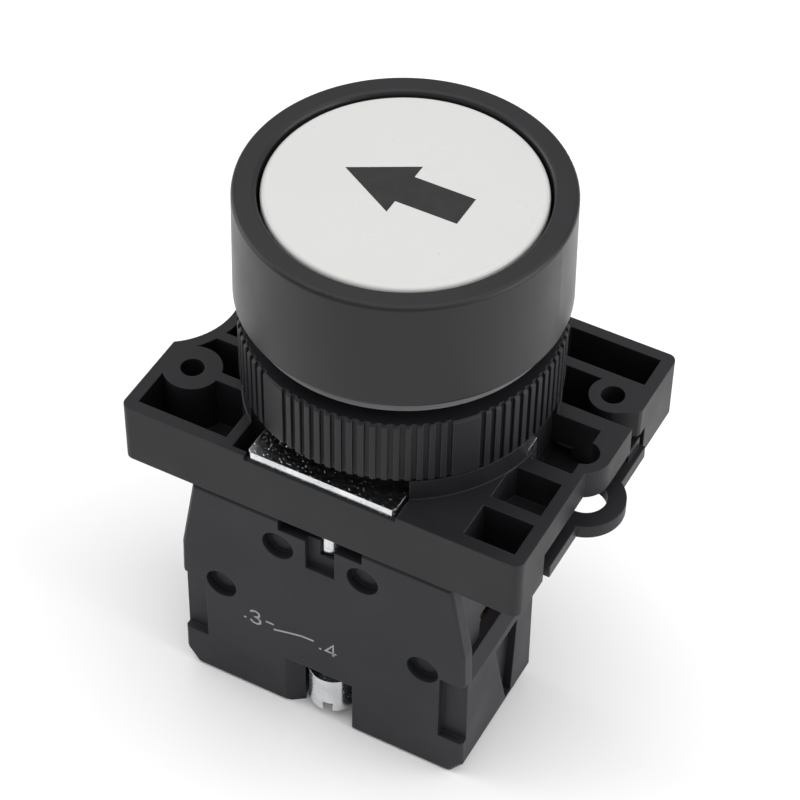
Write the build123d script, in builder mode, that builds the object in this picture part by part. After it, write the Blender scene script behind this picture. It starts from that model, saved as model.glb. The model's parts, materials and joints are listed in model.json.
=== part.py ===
from build123d import *
from math import cos, radians, sin
import os

# Panel push button: flush head, clamp ring, mounting base and one normally-open contact block.
#
# Frame: Z is the button's axis, pointing out of the panel, and Z = 0 is the panel's front face.
# X runs along the base's long side. The contact block hangs under the base's -Y half.
# All lengths are millimetres.

os.makedirs("parts", exist_ok=True)

RUN = 0.07       # radial running clearance of turning and sliding fits
SEAT = 0.02      # gap left between two pieces that rest on each other

# ---------------------------------------------------------------- head
BEZEL_TOP = 12.7
GASKET_T = 1.4
BEZEL_R_TOP, BEZEL_R_LOW = 14.75, 14.93
WELL_R, WELL_FLOOR = 12.58, 3.2
THREAD_R, THREAD_ROOT_R, THREAD_PITCH = 10.9, 10.45, 1.5
THREAD_END = -8.6
SPIGOT_R, BARREL_BORE_R, BARREL_END = 10.3, 9.2, -17.1
LEDGE_TOP, LEDGE_LOW, LEDGE_R = -6.0, -7.6, 8.3

CAP_R, CAP_TOP, CAP_T = 12.3, 12.5, 3.1
CAP_STUD_R, CAP_STUD_H = 6.0, 1.2
ARROW_HALF, ARROW_HEAD, ARROW_HEAD_W, ARROW_SHAFT_W, ARROW_T = 5.8, 5.75, 6.5, 3.5, 0.5
PUSHER_FLANGE_R, PUSHER_FLANGE_T = 12.0, 1.8
PUSHER_TUBE_R, PUSHER_TUBE_BORE = 7.95, 6.6
PUSHER_FOOT_R, PUSHER_FOOT_T, PUSHER_END = 8.85, 1.3, -13.1
RETURN_COIL_R, RETURN_WIRE, RETURN_TURNS = 8.57, 0.5, 6

# ---------------------------------------------------------------- clamp ring
RING_TOP, RING_LOW, RING_R = -1.3, -8.1, 14.65
RING_WALL, RING_TOP_T = 1.5, 2.0
TOOTH_PITCH_DEG, TEETH_PER_SECTOR, SECTORS = 4, 16, 5
SECTOR_START_DEG = 252
GROOVE_W, GROOVE_DEPTH = 0.5, 0.36

# ---------------------------------------------------------------- mounting base
BASE_TOP, BASE_LOW = -10.6, -17.3
BASE_LEFT, BASE_RIGHT, BASE_RIGHT_FRONT = -20.65, 20.6, 19.4
BASE_HALF_Y = 14.88
BASE_CORNER_R = 0.85
WALL, SIDE_WALL = 1.1, 1.2
FLOOR_T = 1.2
SCALLOP_X, SCALLOP_R = -24.8, 7.0
BUMP_X, BUMP_R, BUMP_END_Y = 18.2, 2.55, 4.6
HUB_R, HUB_RIM_R, HUB_TOP, HUB_BORE_R, HUB_MOUTH_R = 14.5, 14.4, -8.35, 10.4, 11.25
SCREW_HOLE_X, SCREW_HOLE_Y, SCREW_HOLE_R, SCREW_HOLE_DEPTH = 17.42, 7.65, 1.12, 3.6
BOSS_R, EAR_R = 2.75, 2.2
PLATE_X, PLATE_HALF_X, PLATE_TOP, PLATE_T = -0.25, 7.35, -10.15, 1.0
PLATE_Y_OUT, PLATE_Y_IN, PLATE_ARC_R = 14.6, 10.4, 11.7
PLATE_LOW = PLATE_TOP - PLATE_T
NUT_HALF_X, NUT_HALF_Y, NUT_LOW, NUT_HOLE_TOP = 2.6, 1.65, -15.6, -12.3
RECESS_HALF_X, RECESS_HALF_Y_IN = 7.6, 10.0

# ---------------------------------------------------------------- locking slide
SLIDE_LOW, SLIDE_T = -17.22, 1.4
SLIDE_Y0, SLIDE_Y1, SLIDE_X0 = -9.25, 7.9, 5.5
SLIDE_ARC_R = 10.75
TOOTH_X0, TOOTH_X1, TOOTH_HALF_Y, TOOTH_H = 9.45, 13.5, 4.0, 1.4
SLIDE_TRAVEL = 2.0
EYE_X, EYE_Y, EYE_R_OUT, EYE_R_IN = 18.75, -0.2, 3.75, 2.05
SLIDE_X1_FRONT, SLIDE_X1_BACK = 19.7, 20.95
CHANNEL_ROOF, SIDE_SLOT_TOP = -15.5, -13.7
LEAF_X, LEAF_T, LEAF_FOOT = 13.55, 0.3, 2.4
LEAF_Y0, LEAF_Y1 = -2.4, -0.5

# ---------------------------------------------------------------- contact block
BLK_TOP, BLK_LOW, BLK_X = -17.34, -43.05, -0.25
BLK_FRONT, BLK_BACK, BLK_SPLIT = -14.88, -0.5, -4.9
BLK_SIDE = [(13.25, 0), (14.1, 4.9), (14.75, 8.6), (14.85, 12), (14.95, 24), (13.7, 25.71)]
TEE_HALF_X, TEE_DEPTH, STEM_HALF_X, STEM_DEPTH = 4.3, 1.2, 1.5, 0.75
PLATE_WALL = 1.55
END_RECESS_X, END_RECESS_BACK = 13.1, -4.4
END_WALL_X, END_WALL_IN, END_WALL_OUT = 13.7, BLK_TOP - 11.95, BLK_TOP - 13.1
TERM_ROOM_TOP, WIRE_SLOT_TOP = -26.2, -26.5
CAPTIVE_Y, CAPTIVE_R, CAPTIVE_THREAD_R, CAPTIVE_HEAD_R = -12.4, 1.45, 1.15, 2.45
NOTCH_TOP, NOTCH_BACK = BLK_TOP - 19.2, -9.7
CAPTIVE_STEP = BLK_TOP - 0.6
SLOT_W, SLOT_DEPTH, SLOT_TURN_DEG = 0.96, 1.1, 14
CAPTIVE_HEAD_TOP, CAPTIVE_HEAD_LOW = BLK_TOP - 20.3, BLK_TOP - 24.6
PIN_R, PIN_RECESS_R, PIN_RECESS = 1.0, 1.62, 0.95
PIN_NEAR_X, PIN_NEAR_Z = 4.35, BLK_TOP - 3.5
PIN_FAR_X, PIN_FAR_Z, PIN_FAR_END = 10.6, BLK_TOP - 12.3, BLK_FRONT + 4.0

PLUNGER_Y = -6.7
PLUNGER_HALF_X, PLUNGER_TIP_HALF_Y, PLUNGER_HALF_Y = 2.3, 1.5, 2.1
PLUNGER_TOP, PLUNGER_SHOULDER, PLUNGER_END = PUSHER_END - SEAT, -19.5, -36.0
WINDOW_TOP, WINDOW_LOW, WINDOW_HALF_Y = -24.2, -31.42, 1.3
PLUNGER_BORE_R, PLUNGER_BORE_TOP = 1.6, -33.0
CHAMBER_HALF_X, CHAMBER_HALF_Y, CHAMBER_TOP, CHAMBER_LOW = 7.45, 2.4, -23.6, -36.6
SPRING_WELL_LOW = -40.5
BRIDGE_T, BRIDGE_HALF_X, BRIDGE_W = 0.8, 6.3, 2.0
TIP_X, TIP_R, TIP_T = 5.35, 0.9, 0.45
CONTACT_GAP = 2.52
STRIP_T, STRIP_W, TERMINAL_W = 0.8, 3.0, 4.6
RISER_X, STRIP_IN_X, STRIP_OUT_X, STRIP_TOP = 6.6, 4.2, 12.2, -27.9
TERM_X, TERM_SCREW_R, TERM_HEAD_R, TERM_HEAD_T, TERM_WELL_R = 10.35, 1.45, 2.2, 1.9, 2.5
SADDLE_TOP, SADDLE_T, SADDLE_W, SADDLE_GAP = -29.75, 0.9, 4.0, 0.15
PAD_IN_X = TERM_X - SADDLE_W / 2


def slab(x0, x1, y0, y1, z0, z1, mode=Mode.ADD):
    """Axis-aligned block between two corners."""
    with Locations(((x0 + x1) / 2, (y0 + y1) / 2, (z0 + z1) / 2)):
        Box(abs(x1 - x0), abs(y1 - y0), abs(z1 - z0), mode=mode)


def area(x0, x1, y0, y1, mode=Mode.ADD):
    """Axis-aligned rectangle in a sketch."""
    with Locations(((x0 + x1) / 2, (y0 + y1) / 2)):
        Rectangle(x1 - x0, y1 - y0, mode=mode)


def disc(x, y, r, mode=Mode.ADD):
    """Circle in a sketch."""
    with Locations((x, y)):
        Circle(r, mode=mode)


def rod(x, y, z0, z1, r, mode=Mode.ADD):
    """Upright cylinder between two heights."""
    with Locations((x, y, (z0 + z1) / 2)):
        Cylinder(r, abs(z1 - z0), mode=mode)


def turned(points):
    """Solid of revolution about Z from (radius, height) points."""
    with BuildSketch(Plane.XZ) as profile:
        with BuildLine():
            Polyline(*points, close=True)
        make_face()
    revolve(profile.sketch, axis=Axis.Z)


def coil(x, y, z0, z1, r, wire, turns):
    """Compression spring whose wire fills the height from z0 to z1."""
    height = z1 - z0 - wire
    with BuildLine(Plane.XY.offset(z0 + wire / 2).move(Location((x, y, 0)))) as path:
        Helix(pitch=height / turns, height=height, radius=r)
    with BuildSketch(Plane(origin=path.line @ 0, z_dir=path.line % 0)) as section:
        Circle(wire / 2)
    sweep(section.sketch, path=path.line, is_frenet=True)


def save(piece, name):
    piece.part.label = name
    export_step(piece.part, f"parts/{name}.step")


# ================================================================ head
thread = []
z = -0.4
while z - THREAD_PITCH > THREAD_END:
    thread += [(THREAD_R, z), (THREAD_ROOT_R, z - 0.45), (THREAD_ROOT_R, z - 0.75), (THREAD_R, z - 1.2)]
    z -= THREAD_PITCH

with BuildPart() as bezel_body:
    turned([
        (WELL_R, BEZEL_TOP), (BEZEL_R_TOP, BEZEL_TOP), (BEZEL_R_LOW, GASKET_T),
        (THREAD_R, GASKET_T), *thread, (THREAD_R, THREAD_END), (SPIGOT_R, THREAD_END - 0.6),
        (SPIGOT_R, BARREL_END), (BARREL_BORE_R, BARREL_END), (BARREL_BORE_R, LEDGE_LOW),
        (LEDGE_R, LEDGE_LOW), (LEDGE_R, LEDGE_TOP), (BARREL_BORE_R, LEDGE_TOP),
        (BARREL_BORE_R, WELL_FLOOR), (WELL_R, WELL_FLOOR),
    ])
    rims = edges().filter_by(GeomType.CIRCLE).group_by(Axis.Z)[-1]
    fillet(rims, 0.4)
    feet = edges().filter_by(GeomType.CIRCLE).filter_by(
        lambda e: abs(e.radius - BEZEL_R_LOW) < 0.01 and abs(e.center().Z - GASKET_T) < 0.01)
    fillet(feet, 0.35)
    # keyway that stops the head turning in the panel
    slab(-1.2, 1.2, THREAD_R - 0.8, THREAD_R + 0.5, THREAD_END, GASKET_T, Mode.SUBTRACT)
    # window the locking slide's tooth enters
    slab(9.0, THREAD_R, -TOOTH_HALF_Y - 0.5, TOOTH_HALF_Y + 0.5, SLIDE_LOW + SLIDE_T - 0.15,
         SLIDE_LOW + SLIDE_T + TOOTH_H + 0.2, Mode.SUBTRACT)
save(bezel_body, "bezel_body")

with BuildPart() as panel_gasket:
    with BuildSketch():
        Circle(14.1)
        Circle(THREAD_R + 0.1, mode=Mode.SUBTRACT)
    extrude(amount=GASKET_T - SEAT)
    fillet(edges().filter_by(GeomType.CIRCLE).filter_by(lambda e: e.radius > 14), 0.3)
save(panel_gasket, "panel_gasket")

with BuildPart() as button_cap:
    rod(0, 0, CAP_TOP - CAP_T, CAP_TOP, CAP_R)
    fillet(edges().group_by(Axis.Z)[-1], 0.45)
    rod(0, 0, CAP_TOP - CAP_T - CAP_STUD_H, CAP_TOP - CAP_T, CAP_STUD_R)
    with BuildSketch(Plane.XY.offset(CAP_TOP)) as arrow_outline:
        with BuildLine():
            Polyline(
                (-ARROW_HALF, 0), (-ARROW_HALF + ARROW_HEAD, ARROW_HEAD_W / 2),
                (-ARROW_HALF + ARROW_HEAD, ARROW_SHAFT_W / 2), (ARROW_HALF, ARROW_SHAFT_W / 2),
                (ARROW_HALF, -ARROW_SHAFT_W / 2), (-ARROW_HALF + ARROW_HEAD, -ARROW_SHAFT_W / 2),
                (-ARROW_HALF + ARROW_HEAD, -ARROW_HEAD_W / 2), close=True)
        make_face()
    extrude(amount=-ARROW_T, mode=Mode.SUBTRACT)
save(button_cap, "button_cap")

with BuildPart() as arrow_inlay:
    with BuildSketch(Plane.XY.offset(CAP_TOP)):
        offset(arrow_outline.sketch_local, amount=-SEAT / 2, kind=Kind.INTERSECTION)
    extrude(amount=-(ARROW_T - SEAT))
save(arrow_inlay, "arrow_inlay")

FLANGE_TOP = CAP_TOP - CAP_T - SEAT
FLANGE_LOW = FLANGE_TOP - PUSHER_FLANGE_T
SEAL_TOP, SEAL_LOW = FLANGE_TOP - 0.45, FLANGE_LOW + 0.45
with BuildPart() as pusher:
    turned([
        (0, FLANGE_TOP - CAP_STUD_H - SEAT), (CAP_STUD_R + SEAT, FLANGE_TOP - CAP_STUD_H - SEAT),
        (CAP_STUD_R + SEAT, FLANGE_TOP), (PUSHER_FLANGE_R, FLANGE_TOP), (PUSHER_FLANGE_R, SEAL_TOP),
        (PUSHER_FLANGE_R - 0.8, SEAL_TOP), (PUSHER_FLANGE_R - 0.8, SEAL_LOW),
        (PUSHER_FLANGE_R, SEAL_LOW), (PUSHER_FLANGE_R, FLANGE_LOW), (PUSHER_TUBE_R, FLANGE_LOW),
        (PUSHER_TUBE_R, PUSHER_END + PUSHER_FOOT_T), (PUSHER_FOOT_R, PUSHER_END + PUSHER_FOOT_T),
        (PUSHER_FOOT_R, PUSHER_END), (0, PUSHER_END), (0, PUSHER_END + PUSHER_FOOT_T),
        (PUSHER_TUBE_BORE, PUSHER_END + PUSHER_FOOT_T), (PUSHER_TUBE_BORE, FLANGE_TOP - 2.6),
        (0, FLANGE_TOP - 2.6),
    ])
save(pusher, "pusher")

with BuildPart() as wiper_seal:
    turned([
        (PUSHER_FLANGE_R - 0.8 + SEAT, SEAL_LOW + SEAT), (WELL_R - RUN, SEAL_LOW + SEAT + 0.15),
        (WELL_R - RUN, SEAL_TOP - SEAT - 0.15), (PUSHER_FLANGE_R - 0.8 + SEAT, SEAL_TOP - SEAT),
    ])
save(wiper_seal, "wiper_seal")

with BuildPart() as return_spring:
    coil(0, 0, LEDGE_TOP + SEAT, FLANGE_LOW - SEAT, RETURN_COIL_R, RETURN_WIRE, RETURN_TURNS)
save(return_spring, "return_spring")

# ================================================================ clamp ring
with BuildPart() as clamp_ring:
    turned([
        (THREAD_R + RUN, RING_TOP), (RING_R, RING_TOP), (RING_R, RING_LOW), (RING_R - RING_WALL, RING_LOW),
        (RING_R - RING_WALL, RING_TOP - RING_TOP_T), (THREAD_R + RUN + 1.1, RING_TOP - RING_TOP_T),
        (THREAD_R + RUN + 1.1, RING_LOW + 0.3), (THREAD_R + RUN, RING_LOW + 0.3),
    ])
    chamfer(edges().filter_by(GeomType.CIRCLE).filter_by(lambda e: e.radius > RING_R - 0.01), 0.2)
    # finger grip: fine upright grooves in sectors with smooth gaps between them
    step = 360 / SECTORS
    angles = [SECTOR_START_DEG + s * step + (n + 0.5) * TOOTH_PITCH_DEG
              for s in range(SECTORS) for n in range(TEETH_PER_SECTOR)]
    with BuildSketch(Plane.XY.offset(RING_LOW)):
        with Locations(*[Location((RING_R * cos(radians(a)), RING_R * sin(radians(a))), a)
                         for a in angles]):
            Rectangle(2 * GROOVE_DEPTH, GROOVE_W)
    extrude(amount=RING_TOP - RING_LOW, mode=Mode.SUBTRACT)
save(clamp_ring, "clamp_ring")

# ================================================================ mounting base
with BuildPart() as mounting_base:
    with BuildSketch(Plane.XY.offset(BASE_LOW)):
        area(BASE_LEFT, BASE_RIGHT_FRONT, -BASE_HALF_Y, BASE_HALF_Y)
        area(BASE_RIGHT_FRONT, BASE_RIGHT, SCREW_HOLE_Y, BASE_HALF_Y)
        with BuildLine():
            Polyline((18.0, 5.6), (18.3, 5.6), (20.45, 6.8), (BASE_RIGHT, 7.1), (BASE_RIGHT, 8), (18.0, 8),
                     close=True)
        make_face()
        disc(BUMP_X, 0, BUMP_R)
        area(BUMP_X, BUMP_X + BUMP_R, 0, BUMP_END_Y)
        disc(SCALLOP_X, 0, SCALLOP_R, Mode.SUBTRACT)
    extrude(amount=BASE_TOP - BASE_LOW)
    corners = edges().filter_by(Axis.Z).filter_by(
        lambda e: abs(e.center().Y) > BASE_HALF_Y - 0.1 and abs(e.center().X) > BASE_RIGHT_FRONT - 0.1)
    fillet(corners, BASE_CORNER_R)
    chamfer(faces().sort_by(Axis.Z)[0].outer_wire().edges(), 0.15)

    # hub around the barrel, raised on its left and right sides and cut down for the plates
    rod(0, 0, BASE_TOP, HUB_TOP, HUB_RIM_R)
    for side in (-1, 1):
        slab(PLATE_X - RECESS_HALF_X, PLATE_X + RECESS_HALF_X, side * RECESS_HALF_Y_IN,
             side * (BASE_HALF_Y + 1), PLATE_LOW - SEAT, 0, Mode.SUBTRACT)
    slab(-9.3, PLATE_X - RECESS_HALF_X + 0.2, -14.3, -10.6, CHANNEL_ROOF + FLOOR_T, HUB_TOP, Mode.SUBTRACT)

    # pockets with a floor at the bottom
    with BuildSketch(Plane.XY.offset(BASE_LOW + FLOOR_T)):
        for side in (-1, 1):
            area(BASE_LEFT + SIDE_WALL, -10.3, *sorted((side * 8.0, side * 13.65)))
            area(BASE_LEFT + SIDE_WALL, -9, *sorted((side * 3.35, side * 6.95)))
        area(BASE_LEFT, -9, -2.35, 2.35)
        area(10.3, BASE_RIGHT_FRONT, 10.15, 13.75)
        area(13.3, BASE_RIGHT_FRONT - SIDE_WALL, -13.6, -9.8)
        disc(0, 0, HUB_R, Mode.SUBTRACT)
        disc(SCALLOP_X, 0, SCALLOP_R + WALL, Mode.SUBTRACT)
        disc(-SCREW_HOLE_X, -SCREW_HOLE_Y, BOSS_R, Mode.SUBTRACT)
    extrude(amount=BASE_TOP - BASE_LOW, mode=Mode.SUBTRACT)

    # pocket with a higher floor, over the slide
    with BuildSketch(Plane.XY.offset(CHANNEL_ROOF + FLOOR_T)):
        area(13.4, BASE_RIGHT_FRONT - SIDE_WALL, -8.6, -4.4)
        disc(0, 0, HUB_R, Mode.SUBTRACT)
    extrude(amount=BASE_TOP - BASE_LOW, mode=Mode.SUBTRACT)

    # pockets open down to the slide: the eyelet's cavity and the one round the ear's boss
    with BuildSketch(Plane.XY.offset(CHANNEL_ROOF)):
        area(11, 18.4, -2.85, 3.1)
        disc(BUMP_X + 0.05, 0, 1.4)
        area(11, 21, BUMP_END_Y, 9.05)
        disc(0, 0, HUB_R, Mode.SUBTRACT)
        disc(SCREW_HOLE_X, SCREW_HOLE_Y, EAR_R, Mode.SUBTRACT)
        with BuildLine():
            Polyline((SCREW_HOLE_X, 5.6), (18.3, 5.6), (20.45, 6.8), (21.5, 7.3), (21.5, 9.2),
                     (SCREW_HOLE_X, 9.2), close=True)
        make_face(mode=Mode.SUBTRACT)
    extrude(amount=BASE_TOP - BASE_LOW, mode=Mode.SUBTRACT)

    # bay in the hub's wall for the detent leaf
    slab(LEAF_X - SEAT, HUB_R + 0.5, -2.85, 3.1, CHANNEL_ROOF, HUB_TOP, Mode.SUBTRACT)

    # channel the slide runs in, its mouth in the right wall, and room for its tooth
    slab(SLIDE_X0 - 0.3, 22, SLIDE_Y0 - 0.2, SLIDE_Y1 + 0.2, BASE_LOW, CHANNEL_ROOF, Mode.SUBTRACT)
    slab(BASE_RIGHT_FRONT - SIDE_WALL, 22, SLIDE_Y0 - 0.7, SLIDE_Y1 + 0.3, BASE_LOW, SIDE_SLOT_TOP,
         Mode.SUBTRACT)
    slab(8, TOOTH_X1 + SLIDE_TRAVEL + 0.3, -TOOTH_HALF_Y - 0.3, TOOTH_HALF_Y + 0.3, CHANNEL_ROOF,
         SLIDE_LOW + SLIDE_T + TOOTH_H + 0.25, Mode.SUBTRACT)

    # bore for the barrel, screw holes in the bosses, and the captive screw's way through
    rod(0, 0, BASE_LOW, HUB_TOP, HUB_BORE_R, Mode.SUBTRACT)
    rod(0, 0, -9.7, HUB_TOP, HUB_MOUTH_R, Mode.SUBTRACT)
    for side in (-1, 1):
        rod(side * SCREW_HOLE_X, side * SCREW_HOLE_Y, BASE_TOP - SCREW_HOLE_DEPTH, BASE_TOP, SCREW_HOLE_R,
            Mode.SUBTRACT)
    for side in (-1, 1):
        slab(PLATE_X - NUT_HALF_X - SEAT, PLATE_X + NUT_HALF_X + SEAT, side * CAPTIVE_Y - NUT_HALF_Y - SEAT,
             side * CAPTIVE_Y + NUT_HALF_Y + SEAT, NUT_LOW - SEAT, BASE_TOP, Mode.SUBTRACT)
        rod(PLATE_X, side * CAPTIVE_Y, BASE_LOW, NUT_LOW, CAPTIVE_R + 0.15, Mode.SUBTRACT)
save(mounting_base, "mounting_base")

with BuildPart() as nut_plates:
    with BuildSketch(Plane.XY.offset(PLATE_LOW)):
        area(PLATE_X - PLATE_HALF_X, PLATE_X + PLATE_HALF_X, -PLATE_Y_OUT, -PLATE_Y_IN)
        chamfer(vertices().group_by(Axis.Y)[0], 0.3)
        disc(0, 0, PLATE_ARC_R, Mode.SUBTRACT)
    extrude(amount=PLATE_T)
    slab(PLATE_X - NUT_HALF_X, PLATE_X + NUT_HALF_X, CAPTIVE_Y - NUT_HALF_Y, CAPTIVE_Y + NUT_HALF_Y, NUT_LOW,
         PLATE_LOW)
    rod(PLATE_X, CAPTIVE_Y, NUT_LOW, NUT_HOLE_TOP, CAPTIVE_THREAD_R + RUN, Mode.SUBTRACT)
    mirror(about=Plane.XZ)
save(nut_plates, "nut_plates")

# ================================================================ locking slide and its spring
SLIDE_TOP = SLIDE_LOW + SLIDE_T
with BuildPart() as locking_slide:
    with BuildSketch(Plane.XY.offset(SLIDE_LOW)):
        area(SLIDE_X0, SLIDE_X1_FRONT, SLIDE_Y0, -3.9)
        area(SLIDE_X0, 17.0, -3.9, 2.7)
        area(SLIDE_X0, SLIDE_X1_BACK, 2.7, SLIDE_Y1)
        disc(EYE_X, EYE_Y, EYE_R_OUT)
        disc(EYE_X, EYE_Y, EYE_R_IN, Mode.SUBTRACT)
        disc(0, 0, SLIDE_ARC_R, Mode.SUBTRACT)
    extrude(amount=SLIDE_T)
    slab(TOOTH_X0, TOOTH_X1, -TOOTH_HALF_Y, TOOTH_HALF_Y, SLIDE_TOP, SLIDE_TOP + TOOTH_H)
    slab(19.0, 20.4, 5.4, 7.7, SLIDE_TOP, SLIDE_TOP + 1.2)
save(locking_slide, "locking_slide")

with BuildPart() as detent_spring:
    foot = SLIDE_TOP + TOOTH_H + 0.35
    slab(LEAF_X, LEAF_X + LEAF_T, LEAF_Y0, LEAF_Y1, foot, BASE_TOP + 0.15)
    slab(LEAF_X, LEAF_X + LEAF_FOOT, LEAF_Y0, LEAF_Y1, foot, foot + LEAF_T)
save(detent_spring, "detent_spring")

# ================================================================ contact block shells
side_right = [(BLK_X + x, BLK_TOP - d) for x, d in BLK_SIDE]
side_left = [(BLK_X - x, BLK_TOP - d) for x, d in reversed(BLK_SIDE)]


def hollow():
    """Cavities shared by the two shells: plunger guide, contact chamber, terminals and their openings."""
    y = PLUNGER_Y
    slab(-PLUNGER_HALF_X - RUN, PLUNGER_HALF_X + RUN, y - PLUNGER_TIP_HALF_Y - RUN,
         y + PLUNGER_TIP_HALF_Y + RUN, PLUNGER_SHOULDER, BLK_TOP + 1, Mode.SUBTRACT)
    slab(-PLUNGER_HALF_X - RUN, PLUNGER_HALF_X + RUN, y - PLUNGER_HALF_Y - RUN, y + PLUNGER_HALF_Y + RUN,
         SPRING_WELL_LOW, PLUNGER_SHOULDER + RUN, Mode.SUBTRACT)
    slab(-CHAMBER_HALF_X, CHAMBER_HALF_X, y - CHAMBER_HALF_Y, y + CHAMBER_HALF_Y, CHAMBER_LOW, CHAMBER_TOP,
         Mode.SUBTRACT)
    for side in (-1, 1):
        # recess over the end wall, whose top slopes outward
        with BuildSketch(Plane.XZ.offset(-BLK_FRONT - PLATE_WALL)) as recess:
            with BuildLine():
                Polyline((side * END_RECESS_X, BLK_TOP + 1), (side * END_RECESS_X, END_WALL_IN),
                         (side * END_WALL_X, END_WALL_IN), (side * (END_WALL_X + 0.9), END_WALL_OUT),
                         (side * 16, END_WALL_OUT), (side * 16, BLK_TOP + 1), close=True)
            make_face()
        extrude(recess.sketch, amount=BLK_FRONT + PLATE_WALL - END_RECESS_BACK, mode=Mode.SUBTRACT)
        # wedge-shaped hollow in the end wall's face
        with BuildSketch(Plane.YZ.offset(side * 13.8)) as gap:
            with BuildLine():
                Polyline((-8.5, BLK_TOP - 14.1), (-5.85, BLK_TOP - 23.8), (-4.75, BLK_TOP - 23.8),
                         (-4.0, BLK_TOP - 14.1), close=True)
            make_face()
        extrude(gap.sketch, amount=side * 3, mode=Mode.SUBTRACT)
        # clamp's chamber, its wire slot, the strip's way in and the screw's well
        slab(side * (PAD_IN_X - SADDLE_GAP), side * (TERM_X + SADDLE_W / 2 + SADDLE_GAP),
             y - TERMINAL_W / 2 - 0.1, y + TERMINAL_W / 2 + 0.1, SADDLE_TOP - 1.6, TERM_ROOM_TOP,
             Mode.SUBTRACT)
        slab(side * TERM_X, side * (END_RECESS_X + 0.1), y - TERMINAL_W / 2, y + TERMINAL_W / 2, END_WALL_IN,
             WIRE_SLOT_TOP, Mode.SUBTRACT)
        slab(side * (CHAMBER_HALF_X - 0.1), side * PAD_IN_X, y - TERMINAL_W / 2 - 0.1,
             y + TERMINAL_W / 2 + 0.1, STRIP_TOP - STRIP_T - SEAT, STRIP_TOP + 0.1, Mode.SUBTRACT)
        rod(side * TERM_X, y, BLK_LOW, SADDLE_TOP - SADDLE_T, TERM_WELL_R, Mode.SUBTRACT)
        rod_y(BLK_X + side * PIN_NEAR_X, PIN_NEAR_Z, BLK_FRONT + PIN_RECESS - 0.1, BLK_BACK - 1.0,
              PIN_R + SEAT)


def rod_y(x, z, y0, y1, r, mode=Mode.SUBTRACT):
    """Cylinder along Y between two depths."""
    with Locations(Location((x, (y0 + y1) / 2, z), (90, 0, 0))):
        Cylinder(r, abs(y1 - y0), mode=mode)


with BuildPart() as block_front_shell:
    with BuildSketch(Plane.XZ.offset(-BLK_SPLIT)):
        with BuildLine():
            Polyline(*side_right, *side_left, close=True)
        make_face()
    extrude(amount=BLK_SPLIT - BLK_FRONT)
    chamfer(faces().sort_by(Axis.Y)[0].edges(), 0.3)
    hollow()
    # tee-shaped recess with a window on the captive screw's shank
    slab(BLK_X - TEE_HALF_X, BLK_X + TEE_HALF_X, BLK_FRONT - 1, BLK_FRONT + TEE_DEPTH, BLK_TOP - 1.3,
         BLK_TOP + 1, Mode.SUBTRACT)
    slab(BLK_X - STEM_HALF_X, BLK_X + STEM_HALF_X, BLK_FRONT - 1, BLK_FRONT + STEM_DEPTH, BLK_TOP - 4.9,
         BLK_TOP + 1, Mode.SUBTRACT)
    slab(BLK_X - 0.35, BLK_X + STEM_HALF_X, BLK_FRONT - 1, CAPTIVE_Y, BLK_TOP - 3.2, BLK_TOP + 1,
         Mode.SUBTRACT)
    # notch that bares the captive screw's head, bevelled on its left side
    with BuildSketch(Plane.XY.offset(BLK_LOW)):
        with BuildLine():
            Polyline((-4.3, BLK_FRONT - 0.1), (-2.2, -13.5), (-2.2, NOTCH_BACK), (3.05, NOTCH_BACK),
                     (3.05, BLK_FRONT - 0.1), close=True)
        make_face()
        disc(BLK_X, CAPTIVE_Y, CAPTIVE_HEAD_R + 0.25)
    extrude(amount=NOTCH_TOP - BLK_LOW, mode=Mode.SUBTRACT)
    rod(BLK_X, CAPTIVE_Y, BLK_LOW, BLK_TOP, CAPTIVE_R + RUN, Mode.SUBTRACT)
    for side in (-1, 1):
        rod_y(BLK_X + side * PIN_NEAR_X, PIN_NEAR_Z, BLK_FRONT - 1, BLK_FRONT + PIN_RECESS, PIN_RECESS_R)
        rod_y(BLK_X + side * PIN_FAR_X, PIN_FAR_Z, BLK_FRONT - 1, BLK_FRONT + PIN_RECESS, PIN_RECESS_R)
        rod_y(BLK_X + side * PIN_FAR_X, PIN_FAR_Z, BLK_FRONT, PIN_FAR_END + SEAT, PIN_R + SEAT)
        slab(BLK_X + side * 12.35, side * 16, BLK_FRONT - 1, BLK_FRONT + 0.8, BLK_TOP - 20.9, BLK_TOP - 12.6,
             Mode.SUBTRACT)
save(block_front_shell, "block_front_shell")

with BuildPart() as block_rear_shell:
    with BuildSketch(Plane.XZ.offset(-BLK_BACK)):
        with BuildLine():
            Polyline(*side_right, *side_left, close=True)
        make_face()
    extrude(amount=BLK_BACK - BLK_SPLIT - SEAT)
    chamfer(faces().sort_by(Axis.Y)[-1].edges(), 0.3)
    hollow()
save(block_rear_shell, "block_rear_shell")

with BuildPart() as shell_pins:
    for side in (-1, 1):
        rod_y(BLK_X + side * PIN_NEAR_X, PIN_NEAR_Z, BLK_FRONT + PIN_RECESS - 0.1, BLK_BACK - 1.0 - SEAT,
              PIN_R, Mode.ADD)
        rod_y(BLK_X + side * PIN_FAR_X, PIN_FAR_Z, BLK_FRONT + PIN_RECESS - 0.1, PIN_FAR_END, PIN_R, Mode.ADD)
save(shell_pins, "shell_pins")

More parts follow.
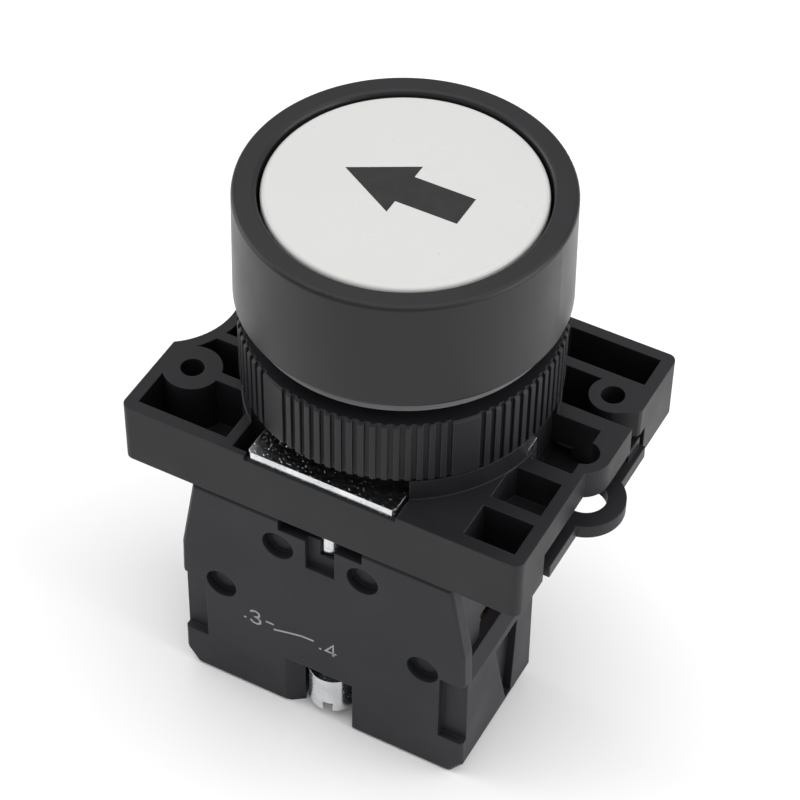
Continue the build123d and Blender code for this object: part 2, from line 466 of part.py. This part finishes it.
# ================================================================ contacts
with BuildPart() as contact_plunger:
    y = PLUNGER_Y
    slab(-PLUNGER_HALF_X, PLUNGER_HALF_X, y - PLUNGER_HALF_Y, y + PLUNGER_HALF_Y, PLUNGER_END,
         PLUNGER_SHOULDER)
    slab(-PLUNGER_HALF_X, PLUNGER_HALF_X, y - PLUNGER_TIP_HALF_Y, y + PLUNGER_TIP_HALF_Y, PLUNGER_SHOULDER,
         PLUNGER_TOP)
    chamfer(faces().sort_by(Axis.Z)[-1].edges(), 0.35)
    slab(-4, 4, y - WINDOW_HALF_Y, y + WINDOW_HALF_Y, WINDOW_LOW, WINDOW_TOP, Mode.SUBTRACT)
    rod(0, y, PLUNGER_END, PLUNGER_BORE_TOP, PLUNGER_BORE_R, Mode.SUBTRACT)
save(contact_plunger, "contact_plunger")

with BuildPart() as plunger_spring:
    coil(0, PLUNGER_Y, SPRING_WELL_LOW + SEAT, PLUNGER_BORE_TOP - SEAT, 1.2, 0.3, 8)
save(plunger_spring, "plunger_spring")

BRIDGE_LOW = WINDOW_LOW + SEAT
with BuildPart() as contact_bridge:
    slab(-BRIDGE_HALF_X, BRIDGE_HALF_X, PLUNGER_Y - BRIDGE_W / 2, PLUNGER_Y + BRIDGE_W / 2, BRIDGE_LOW,
         BRIDGE_LOW + BRIDGE_T)
    fillet(edges().filter_by(Axis.Z), 0.5)
save(contact_bridge, "contact_bridge")

with BuildPart() as bridge_tips:
    for side in (-1, 1):
        rod(side * TIP_X, PLUNGER_Y, BRIDGE_LOW - TIP_T, BRIDGE_LOW, TIP_R)
save(bridge_tips, "bridge_tips")

with BuildPart() as bridge_spring:
    coil(0, PLUNGER_Y, BRIDGE_LOW + BRIDGE_T + SEAT, WINDOW_TOP - SEAT, 0.9, 0.28, 6)
save(bridge_spring, "bridge_spring")

FIXED_TIP_TOP = BRIDGE_LOW - TIP_T - CONTACT_GAP
FIXED_TIP_LOW = FIXED_TIP_TOP - TIP_T
STRIP_LOW = FIXED_TIP_LOW - STRIP_T
with BuildPart() as fixed_tips:
    for side in (-1, 1):
        rod(side * TIP_X, PLUNGER_Y, FIXED_TIP_LOW, FIXED_TIP_TOP, TIP_R)
save(fixed_tips, "fixed_tips")


def terminal(side):
    """Fixed contact strip: a foot under the bridge's tip, a riser, and a pad over the clamp saddle."""
    y = PLUNGER_Y
    slab(side * STRIP_IN_X, side * (RISER_X + STRIP_T), y - STRIP_W / 2, y + STRIP_W / 2, STRIP_LOW,
         FIXED_TIP_LOW)
    slab(side * RISER_X, side * (RISER_X + STRIP_T), y - STRIP_W / 2, y + STRIP_W / 2, STRIP_LOW, STRIP_TOP)
    slab(side * RISER_X, side * STRIP_OUT_X, y - STRIP_W / 2, y + STRIP_W / 2, STRIP_TOP - STRIP_T, STRIP_TOP)
    slab(side * PAD_IN_X, side * STRIP_OUT_X, y - TERMINAL_W / 2, y + TERMINAL_W / 2,
         STRIP_TOP - STRIP_T, STRIP_TOP)
    rod(side * TERM_X, y, STRIP_TOP - STRIP_T, STRIP_TOP, TERM_SCREW_R + RUN, Mode.SUBTRACT)


with BuildPart() as terminal_left:
    terminal(-1)
save(terminal_left, "terminal_left")

with BuildPart() as terminal_right:
    terminal(1)
save(terminal_right, "terminal_right")

with BuildPart() as clamp_saddles:
    for side in (-1, 1):
        slab(side * (TERM_X - SADDLE_W / 2), side * (TERM_X + SADDLE_W / 2), PLUNGER_Y - SADDLE_W / 2,
             PLUNGER_Y + SADDLE_W / 2, SADDLE_TOP - SADDLE_T, SADDLE_TOP)
        rod(side * TERM_X, PLUNGER_Y, SADDLE_TOP - SADDLE_T, SADDLE_TOP, TERM_SCREW_R + RUN, Mode.SUBTRACT)
save(clamp_saddles, "clamp_saddles")


def screw(x, y, top, head_top, head_low, r, head_r):
    """Screw with its head down and a short lead at its end."""
    rod(x, y, head_low, head_top, head_r)
    rod(x, y, head_top, top, r)
    chamfer(faces().sort_by(Axis.Z)[-1].edges(), 0.3)


HEAD_TOP = SADDLE_TOP - SADDLE_T - 0.06
for name, side in (("terminal_screw_left", -1), ("terminal_screw_right", 1)):
    with BuildPart() as terminal_screw:
        screw(side * TERM_X, PLUNGER_Y, STRIP_TOP + 1.2, HEAD_TOP, HEAD_TOP - TERM_HEAD_T, TERM_SCREW_R,
              TERM_HEAD_R)
        slab(side * TERM_X - 3, side * TERM_X + 3, PLUNGER_Y - 0.4, PLUNGER_Y + 0.4, HEAD_TOP - TERM_HEAD_T,
             HEAD_TOP - TERM_HEAD_T + 0.9, Mode.SUBTRACT)
    save(terminal_screw, name)

with BuildPart() as captive_screw:
    screw(BLK_X, CAPTIVE_Y, CAPTIVE_STEP, CAPTIVE_HEAD_TOP, CAPTIVE_HEAD_LOW, CAPTIVE_R, CAPTIVE_HEAD_R)
    rod(BLK_X, CAPTIVE_Y, CAPTIVE_STEP, NUT_HOLE_TOP - 0.3, CAPTIVE_THREAD_R)
    with Locations(Location((BLK_X, CAPTIVE_Y, CAPTIVE_HEAD_LOW + SLOT_DEPTH / 2), (0, 0, SLOT_TURN_DEG))):
        Box(SLOT_W, 3 * CAPTIVE_HEAD_R, SLOT_DEPTH, mode=Mode.SUBTRACT)
save(captive_screw, "captive_screw")
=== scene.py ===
"""Looks of the panel push button: camera, studio, a material for each slot, and printed contact marks."""
import json
from math import cos, radians, sin

import bmesh
import bpy
from mathutils import Matrix, Vector


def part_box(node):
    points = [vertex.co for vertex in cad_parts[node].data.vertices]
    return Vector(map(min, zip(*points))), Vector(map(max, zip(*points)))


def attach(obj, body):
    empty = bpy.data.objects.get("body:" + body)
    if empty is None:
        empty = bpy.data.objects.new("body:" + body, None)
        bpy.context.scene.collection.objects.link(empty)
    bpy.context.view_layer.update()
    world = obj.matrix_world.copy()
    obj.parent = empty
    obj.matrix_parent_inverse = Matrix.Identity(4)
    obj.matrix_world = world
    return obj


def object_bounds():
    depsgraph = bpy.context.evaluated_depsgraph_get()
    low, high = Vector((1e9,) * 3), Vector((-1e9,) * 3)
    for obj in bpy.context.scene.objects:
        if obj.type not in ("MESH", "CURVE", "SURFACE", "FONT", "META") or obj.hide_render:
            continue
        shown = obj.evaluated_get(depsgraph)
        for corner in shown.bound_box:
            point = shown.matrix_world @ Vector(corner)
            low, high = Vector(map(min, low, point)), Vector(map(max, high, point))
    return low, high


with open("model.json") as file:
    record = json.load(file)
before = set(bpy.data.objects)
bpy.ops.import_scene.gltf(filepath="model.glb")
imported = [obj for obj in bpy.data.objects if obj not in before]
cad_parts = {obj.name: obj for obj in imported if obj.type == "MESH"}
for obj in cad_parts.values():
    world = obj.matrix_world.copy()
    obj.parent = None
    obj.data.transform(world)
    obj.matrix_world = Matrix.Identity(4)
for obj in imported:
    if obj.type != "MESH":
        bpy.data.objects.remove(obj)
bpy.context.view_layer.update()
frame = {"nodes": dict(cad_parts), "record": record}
MM = 0.001

# ---------------------------------------------------------------- camera
VIEW_AZIMUTH = radians(27.595)
VIEW_ELEVATION = radians(45.926)
VIEW_ROLL = radians(0.963)
VIEW_DISTANCE = 234.076 * MM
VIEW_LEFT = 0.46 * MM
VIEW_DOWN = 17.917 * MM
CLIP_START = 10 * MM
# in millimetres, as a camera takes them
LENS = 125.02
SENSOR_WIDTH = 36


def add_camera():
    """Camera aimed at the bezel's top centre, then moved left and down in its own plane."""
    back = Vector((sin(VIEW_AZIMUTH) * cos(VIEW_ELEVATION),
                   -cos(VIEW_AZIMUTH) * cos(VIEW_ELEVATION),
                   sin(VIEW_ELEVATION)))
    level = (-back).cross(Vector((0, 0, 1))).normalized()
    raised = level.cross(-back)
    right = level * cos(VIEW_ROLL) + raised * sin(VIEW_ROLL)
    up = raised * cos(VIEW_ROLL) - level * sin(VIEW_ROLL)
    target = Vector((0, 0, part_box("bezel_body")[1].z))
    place = target - right * VIEW_LEFT - up * VIEW_DOWN + back * VIEW_DISTANCE
    camera = bpy.data.objects.new("camera", bpy.data.cameras.new("camera"))
    camera.data.lens = LENS
    camera.data.sensor_width = SENSOR_WIDTH
    camera.data.clip_start = CLIP_START
    camera.matrix_world = Matrix.Translation(place) @ Matrix((right, up, back)).transposed().to_4x4()
    bpy.context.scene.collection.objects.link(camera)
    bpy.context.scene.camera = camera


# ---------------------------------------------------------------- studio
FLOOR_HALF = 3.0
FLOOR_COLOUR = (0.90, 0.90, 0.90, 1)
FLOOR_ROUGHNESS = 0.85
FLOOR_SPECULAR = 0.2
SURROUNDINGS_COLOUR = (1, 1, 1, 1)
SURROUNDINGS_STRENGTH = 0.55
SOFT_BOX_AIM = Vector((0, 0, -0.01))
# name: place in metres, side in metres, power in watts
SOFT_BOXES = {
    "key_left": ((-0.50, -0.06, 0.20), 0.45, 1.4),
    "fill_right": ((0.50, 0.10, 0.20), 0.45, 2.0),
    "overhead": ((0.0, 0.06, 0.65), 0.90, 3.3),
}


def add_floor():
    """Wide pale floor at the object's lowest point."""
    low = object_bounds()[0].z
    corners = [(-FLOOR_HALF, -FLOOR_HALF, low), (FLOOR_HALF, -FLOOR_HALF, low),
               (FLOOR_HALF, FLOOR_HALF, low), (-FLOOR_HALF, FLOOR_HALF, low)]
    mesh = bpy.data.meshes.new("floor")
    mesh.from_pydata(corners, [], [(0, 1, 2, 3)])
    material = bpy.data.materials.new("floor")
    material.use_nodes = True
    shader = material.node_tree.nodes["Principled BSDF"]
    shader.inputs["Base Color"].default_value = FLOOR_COLOUR
    shader.inputs["Roughness"].default_value = FLOOR_ROUGHNESS
    shader.inputs["Specular IOR Level"].default_value = FLOOR_SPECULAR
    mesh.materials.append(material)
    floor = bpy.data.objects.new("floor", mesh)
    bpy.context.scene.collection.objects.link(floor)


def add_surroundings():
    """Even white light from all round."""
    world = bpy.data.worlds.new("studio")
    world.use_nodes = True
    background = world.node_tree.nodes["Background"]
    background.inputs["Color"].default_value = SURROUNDINGS_COLOUR
    background.inputs["Strength"].default_value = SURROUNDINGS_STRENGTH
    bpy.context.scene.world = world
    bpy.context.scene.view_settings.view_transform = "Standard"


def add_soft_box(name, place, side, power):
    """Square area light that faces the object."""
    light = bpy.data.lights.new(name, "AREA")
    light.shape = "SQUARE"
    light.size = side
    light.energy = power
    lamp = bpy.data.objects.new(name, light)
    lamp.location = place
    lamp.rotation_euler = (Vector(place) - SOFT_BOX_AIM).to_track_quat("Z", "Y").to_euler()
    bpy.context.scene.collection.objects.link(lamp)


def add_studio():
    """Pale floor, even surroundings and three soft boxes."""
    add_floor()
    add_surroundings()
    for name, (place, side, power) in SOFT_BOXES.items():
        add_soft_box(name, place, side, power)


# ---------------------------------------------------------------- materials
# the middle stretch of a noise's values, over which a roughness runs from smoothest to roughest
NOISE_LOW, NOISE_HIGH = 0.3, 0.7
# how far the cosine between a rounded and the true normal has fallen where wear starts, and where it is full
WEAR_STARTS, WEAR_FULL = 0.01, 0.12
WEAR_SAMPLES, ROUNDING_SAMPLES = 6, 4


class Surface:
    """A Principled material built up from object-space noise. Sizes are in metres, masks run from 0 to 1."""

    def __init__(self, name, colour, metallic=0.0, specular=0.5):
        self.material = bpy.data.materials.new(name)
        self.material.use_nodes = True
        self.tree = self.material.node_tree
        self.shader = self.tree.nodes["Principled BSDF"]
        self.shader.inputs["Metallic"].default_value = metallic
        self.shader.inputs["Specular IOR Level"].default_value = specular
        self.place = self.node("ShaderNodeTexCoord").outputs["Object"]
        self.colour = self.plain(colour)

    def node(self, kind, **settings):
        """New node of a kind, with its own settings."""
        made = self.tree.nodes.new(kind)
        for key, value in settings.items():
            setattr(made, key, value)
        return made

    def link(self, source, target):
        self.tree.links.new(source, target)

    def plain(self, colour):
        """Output of one even colour."""
        made = self.node("ShaderNodeRGB")
        made.outputs[0].default_value = (*colour, 1)
        return made.outputs[0]

    def noise(self, size, detail, stretch=None):
        """Noise whose blotches are about size across, divided by the stretch factors along x, y and z."""
        made = self.node("ShaderNodeTexNoise")
        made.inputs["Scale"].default_value = 1 / size
        made.inputs["Detail"].default_value = detail
        place = self.place
        if stretch:
            scaled = self.node("ShaderNodeMapping")
            scaled.inputs["Scale"].default_value = stretch
            self.link(place, scaled.inputs["Vector"])
            place = scaled.outputs["Vector"]
        self.link(place, made.inputs["Vector"])
        return made.outputs["Fac"]

    def spread(self, source, low, high, to_low=0.0, to_high=1.0):
        """The source with low to high mapped onto to_low to to_high, held at those ends beyond."""
        made = self.node("ShaderNodeMapRange", clamp=True)
        self.link(source, made.inputs["Value"])
        for key, value in zip(("From Min", "From Max", "To Min", "To Max"), (low, high, to_low, to_high)):
            made.inputs[key].default_value = value
        return made.outputs["Result"]

    def rounded(self, radius, samples):
        """Normal that turns smoothly over edges, within a radius of them."""
        made = self.node("ShaderNodeBevel", samples=samples)
        made.inputs["Radius"].default_value = radius
        return made.outputs["Normal"]

    def edges(self, radius):
        """Mask that is 1 on convex and concave edges, where a rounded normal leaves the true one."""
        true = self.node("ShaderNodeNewGeometry")
        cosine = self.node("ShaderNodeVectorMath", operation="DOT_PRODUCT")
        self.link(self.rounded(radius, WEAR_SAMPLES), cosine.inputs[0])
        self.link(true.outputs["Normal"], cosine.inputs[1])
        return self.spread(cosine.outputs["Value"], 1 - WEAR_FULL, 1 - WEAR_STARTS, 1.0, 0.0)

    def tint(self, source, colour, low=0.0, high=1.0, most=1.0):
        """Blend the base colour towards another, by 0 to most as the source rises from low to high."""
        made = self.node("ShaderNodeMix", data_type="RGBA")
        self.link(self.spread(source, low, high, 0.0, most), made.inputs["Factor"])
        self.link(self.colour, made.inputs["A"])
        made.inputs["B"].default_value = (*colour, 1)
        self.colour = made.outputs["Result"]

    def rough(self, source, smoothest, roughest):
        """Roughness that follows a noise."""
        roughness = self.spread(source, NOISE_LOW, NOISE_HIGH, smoothest, roughest)
        self.link(roughness, self.shader.inputs["Roughness"])

    def relief(self, heights, radius=0.0):
        """Fine relief from (height source, its full height) pairs, over edges rounded to the radius."""
        normal = self.rounded(radius, ROUNDING_SAMPLES) if radius else None
        for source, full_height in heights:
            made = self.node("ShaderNodeBump")
            made.inputs["Distance"].default_value = full_height
            made.inputs["Strength"].default_value = 1.0
            self.link(source, made.inputs["Height"])
            if normal:
                self.link(normal, made.inputs["Normal"])
            normal = made.outputs["Normal"]
        self.link(normal, self.shader.inputs["Normal"])

    def done(self):
        """The material, once its last tint is in."""
        self.link(self.colour, self.shader.inputs["Base Color"])
        return self.material


def brighter(colour, factor):
    """The colour times a factor, with no channel over 1."""
    return [min(1.0, channel * factor) for channel in colour]


def moulded_plastic(name, colour, worn, smoothest, roughest, specular=0.25,
                    grain=0.22 * MM, grain_height=0.006 * MM):
    """Moulded plastic: blotchy tone, light specks, fine grain, and edges rubbed to the worn colour."""
    edge = 0.16 * MM
    surface = Surface(name, colour, specular=specular)
    blotch = surface.noise(6 * MM, detail=4)
    speck = surface.noise(0.35 * MM, detail=2)
    fine = surface.noise(grain, detail=2)
    wave = surface.noise(1.6 * MM, detail=2)
    surface.tint(blotch, brighter(colour, 1.25), low=0.35, high=0.75, most=0.6)
    surface.tint(speck, brighter(colour, 1.8), low=0.66, high=0.78, most=0.35)
    surface.tint(surface.edges(edge), worn, most=0.55)
    surface.rough(blotch, smoothest, roughest)
    surface.relief([(fine, grain_height), (wave, 2 * grain_height)], edge)
    return surface.done()


def bezel_plastic():
    return moulded_plastic("bezel_black", colour=(0.010, 0.0102, 0.0115), worn=(0.040, 0.040, 0.043),
                           smoothest=0.32, roughest=0.40, specular=0.30,
                           grain=0.16 * MM, grain_height=0.003 * MM)


def base_plastic():
    return moulded_plastic("base_black", colour=(0.011, 0.0113, 0.013), worn=(0.045, 0.045, 0.05),
                           smoothest=0.42, roughest=0.54)


def block_plastic():
    return moulded_plastic("block_black", colour=(0.014, 0.0145, 0.018), worn=(0.048, 0.048, 0.056),
                           smoothest=0.46, roughest=0.58)


def pusher_plastic():
    return moulded_plastic("pusher_grey", colour=(0.10, 0.10, 0.11), worn=(0.2, 0.2, 0.21),
                           smoothest=0.4, roughest=0.5)


def plunger_plastic():
    return moulded_plastic("plunger_green", colour=(0.03, 0.20, 0.08), worn=(0.08, 0.34, 0.17),
                           smoothest=0.3, roughest=0.4)


def cap_plastic():
    """Smooth white plastic that lets a little light in, with a thin gloss and slight moulding sinks."""
    surface = Surface("cap_white", (0.55, 0.552, 0.542))
    cloud = surface.noise(9 * MM, detail=3)
    speck = surface.noise(0.5 * MM, detail=2)
    sink = surface.noise(7 * MM, detail=1)
    surface.tint(cloud, (0.53, 0.53, 0.52), low=0.4, high=0.7, most=0.5)
    surface.tint(speck, (0.50, 0.50, 0.49), low=0.72, high=0.80, most=0.25)
    surface.rough(cloud, smoothest=0.26, roughest=0.36)
    surface.relief([(speck, 0.002 * MM), (sink, 0.02 * MM)], radius=0.1 * MM)
    surface.shader.inputs["Subsurface Weight"].default_value = 0.12
    surface.shader.inputs["Subsurface Radius"].default_value = (0.8 * MM, 0.75 * MM, 0.7 * MM)
    surface.shader.inputs["Coat Weight"].default_value = 0.15
    surface.shader.inputs["Coat Roughness"].default_value = 0.2
    return surface.done()


def arrow_plastic():
    surface = Surface("arrow_black", (0.012, 0.012, 0.013), specular=0.3)
    cloud = surface.noise(1.2 * MM, detail=3)
    fine = surface.noise(0.25 * MM, detail=2)
    surface.tint(cloud, (0.018, 0.018, 0.019), low=0.4, high=0.7)
    surface.rough(cloud, smoothest=0.38, roughest=0.5)
    surface.relief([(fine, 0.002 * MM)], radius=0.05 * MM)
    return surface.done()


def rubber(name, colour):
    """Dull rubber with a faint bloom and paler edges."""
    surface = Surface(name, colour, specular=0.35)
    cloud = surface.noise(2.5 * MM, detail=4)
    fine = surface.noise(0.12 * MM, detail=2)
    surface.tint(cloud, brighter(colour, 1.4), low=0.35, high=0.7, most=0.7)
    surface.tint(surface.edges(0.15 * MM), brighter(colour, 1.8))
    surface.rough(cloud, smoothest=0.62, roughest=0.8)
    surface.relief([(fine, 0.006 * MM)], radius=0.1 * MM)
    surface.shader.inputs["Sheen Weight"].default_value = 0.15
    return surface.done()


def gasket_rubber():
    return rubber("gasket_grey", colour=(0.09, 0.09, 0.095))


def seal_rubber():
    return rubber("seal_black", colour=(0.018, 0.018, 0.018))


def metal(name, colour, dark, smoothest, roughest, stretch=None,
          grain=0.4 * MM, grain_height=0.004 * MM, nib_height=0.0):
    """Plated or rolled metal: cloudy tone, brighter rubbed edges, fine grain, and perhaps raised nibs."""
    surface = Surface(name, colour, metallic=1.0)
    cloud = surface.noise(1.8 * MM, detail=5)
    fine = surface.noise(grain, detail=3, stretch=stretch)
    surface.tint(cloud, dark, low=0.35, high=0.7, most=0.8)
    surface.tint(surface.edges(0.1 * MM), brighter(colour, 1.25), most=0.7)
    surface.rough(fine, smoothest, roughest)
    heights = [(fine, grain_height)]
    if nib_height:
        nibs = surface.spread(surface.noise(0.26 * MM, detail=1), low=0.66, high=0.72)
        heights.append((nibs, nib_height))
    surface.relief(heights, radius=0.08 * MM)
    return surface.done()


def zinc():
    return metal("zinc_plate", colour=(0.78, 0.79, 0.80), dark=(0.55, 0.57, 0.58),
                 smoothest=0.14, roughest=0.26, grain=0.3 * MM, grain_height=0.003 * MM, nib_height=0.02 * MM)


def steel_wire():
    return metal("spring_steel", colour=(0.60, 0.60, 0.62), dark=(0.42, 0.42, 0.44),
                 smoothest=0.22, roughest=0.36, stretch=(1, 1, 6))


def copper():
    return metal("contact_copper", colour=(0.78, 0.44, 0.27), dark=(0.55, 0.28, 0.16),
                 smoothest=0.25, roughest=0.4, stretch=(1, 8, 1))


def silver():
    return metal("contact_silver", colour=(0.86, 0.86, 0.84), dark=(0.7, 0.7, 0.68),
                 smoothest=0.18, roughest=0.3)


def print_ink():
    """Thin pale ink that covers unevenly."""
    surface = Surface("print_white", (0.33, 0.33, 0.34))
    patchy = surface.noise(0.25 * MM, detail=3)
    surface.tint(patchy, (0.22, 0.22, 0.23), low=0.55, high=0.75, most=0.6)
    surface.rough(patchy, smoothest=0.55, roughest=0.7)
    surface.relief([(patchy, 0.004 * MM)])
    return surface.done()


SLOT_MATERIALS = {
    "bezel_black": bezel_plastic,
    "base_black": base_plastic,
    "block_black": block_plastic,
    "cap_white": cap_plastic,
    "arrow_black": arrow_plastic,
    "pusher_grey": pusher_plastic,
    "plunger_green": plunger_plastic,
    "gasket_grey": gasket_rubber,
    "seal_black": seal_rubber,
    "zinc_plate": zinc,
    "spring_steel": steel_wire,
    "contact_copper": copper,
    "contact_silver": silver,
}


def dress_nodes():
    """Give every CAD node its slot's material."""
    materials = {slot: make() for slot, make in SLOT_MATERIALS.items()}
    for part in frame["record"]["subparts"]:
        mesh = frame["nodes"][part["node"]].data
        mesh.materials.clear()
        mesh.materials.append(materials[part["material_slot"]])


# ---------------------------------------------------------------- printed marks
INK_WIDTH = 0.21 * MM
INK_PROUD = 0.012 * MM
# a corner widens by one over its cosine, which counts as no less than this
LEAST_COSINE = 0.5
# in millimetres: half a dot's length, then strokes and dots, to the right of the block's middle and up from
# its bottom
DOT_HALF = 0.12
THREE = [(-7.53, 11.19), (-7.30, 11.43), (-6.93, 11.49), (-6.61, 11.31), (-6.59, 10.95), (-6.81, 10.72),
         (-7.03, 10.67), (-6.77, 10.61), (-6.49, 10.37), (-6.51, 9.99), (-6.83, 9.75), (-7.25, 9.79),
         (-7.55, 10.07)]
FOUR = [(1.65, 10.17), (0.51, 10.17), (1.31, 11.33), (1.31, 9.77)]
OPEN_BLADE = [(-5.04, 10.00), (-3.54, 10.41), (-2.05, 10.77), (-0.75, 10.81)]
FIXED_STUB = [(-5.89, 10.69), (-5.03, 10.69)]
DOTS = [(-8.13, 10.07), (-0.07, 10.10)]


def stroke(mould, points, face_y):
    """Closed sliver of even width through (x, z) points, half sunk in an upright face."""
    front = face_y - INK_PROUD
    back = face_y + INK_PROUD
    path = [Vector(point) for point in points]
    runs = [(end - start).normalized() for start, end in zip(path, path[1:])]
    rings = []
    for point, before, after in zip(path, [runs[0], *runs], [*runs, runs[-1]]):
        along = (before + after).normalized()
        across = Vector((-along.y, along.x)) * (INK_WIDTH / 2 / max(along.dot(after), LEAST_COSINE))
        left = point + across
        right = point - across
        corners = [(left.x, front, left.y), (right.x, front, right.y),
                   (right.x, back, right.y), (left.x, back, left.y)]
        rings.append([mould.verts.new(corner) for corner in corners])
    for near, far in zip(rings, rings[1:]):
        for this, following in ((0, 1), (1, 2), (2, 3), (3, 0)):
            mould.faces.new((near[this], near[following], far[following], far[this]))
    mould.faces.new(rings[0][::-1])
    mould.faces.new(rings[-1])


def add_contact_marks():
    """Contact numbers 3 and 4 and an open-contact symbol, printed on the block's front."""
    low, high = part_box("block_front_shell")
    middle = (low.x + high.x) / 2
    dots = [[(x - DOT_HALF, z), (x + DOT_HALF, z)] for x, z in DOTS]
    mould = bmesh.new()
    for points in (THREE, FOUR, OPEN_BLADE, FIXED_STUB, *dots):
        stroke(mould, [(middle + x * MM, low.z + z * MM) for x, z in points], low.y)
    bmesh.ops.recalc_face_normals(mould, faces=mould.faces[:])
    mesh = bpy.data.meshes.new("contact_marks")
    mould.to_mesh(mesh)
    mould.free()
    mesh.materials.append(print_ink())
    marks = bpy.data.objects.new("contact_marks", mesh)
    bpy.context.scene.collection.objects.link(marks)
    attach(marks, "housing")


add_camera()
add_studio()
dress_nodes()
add_contact_marks()
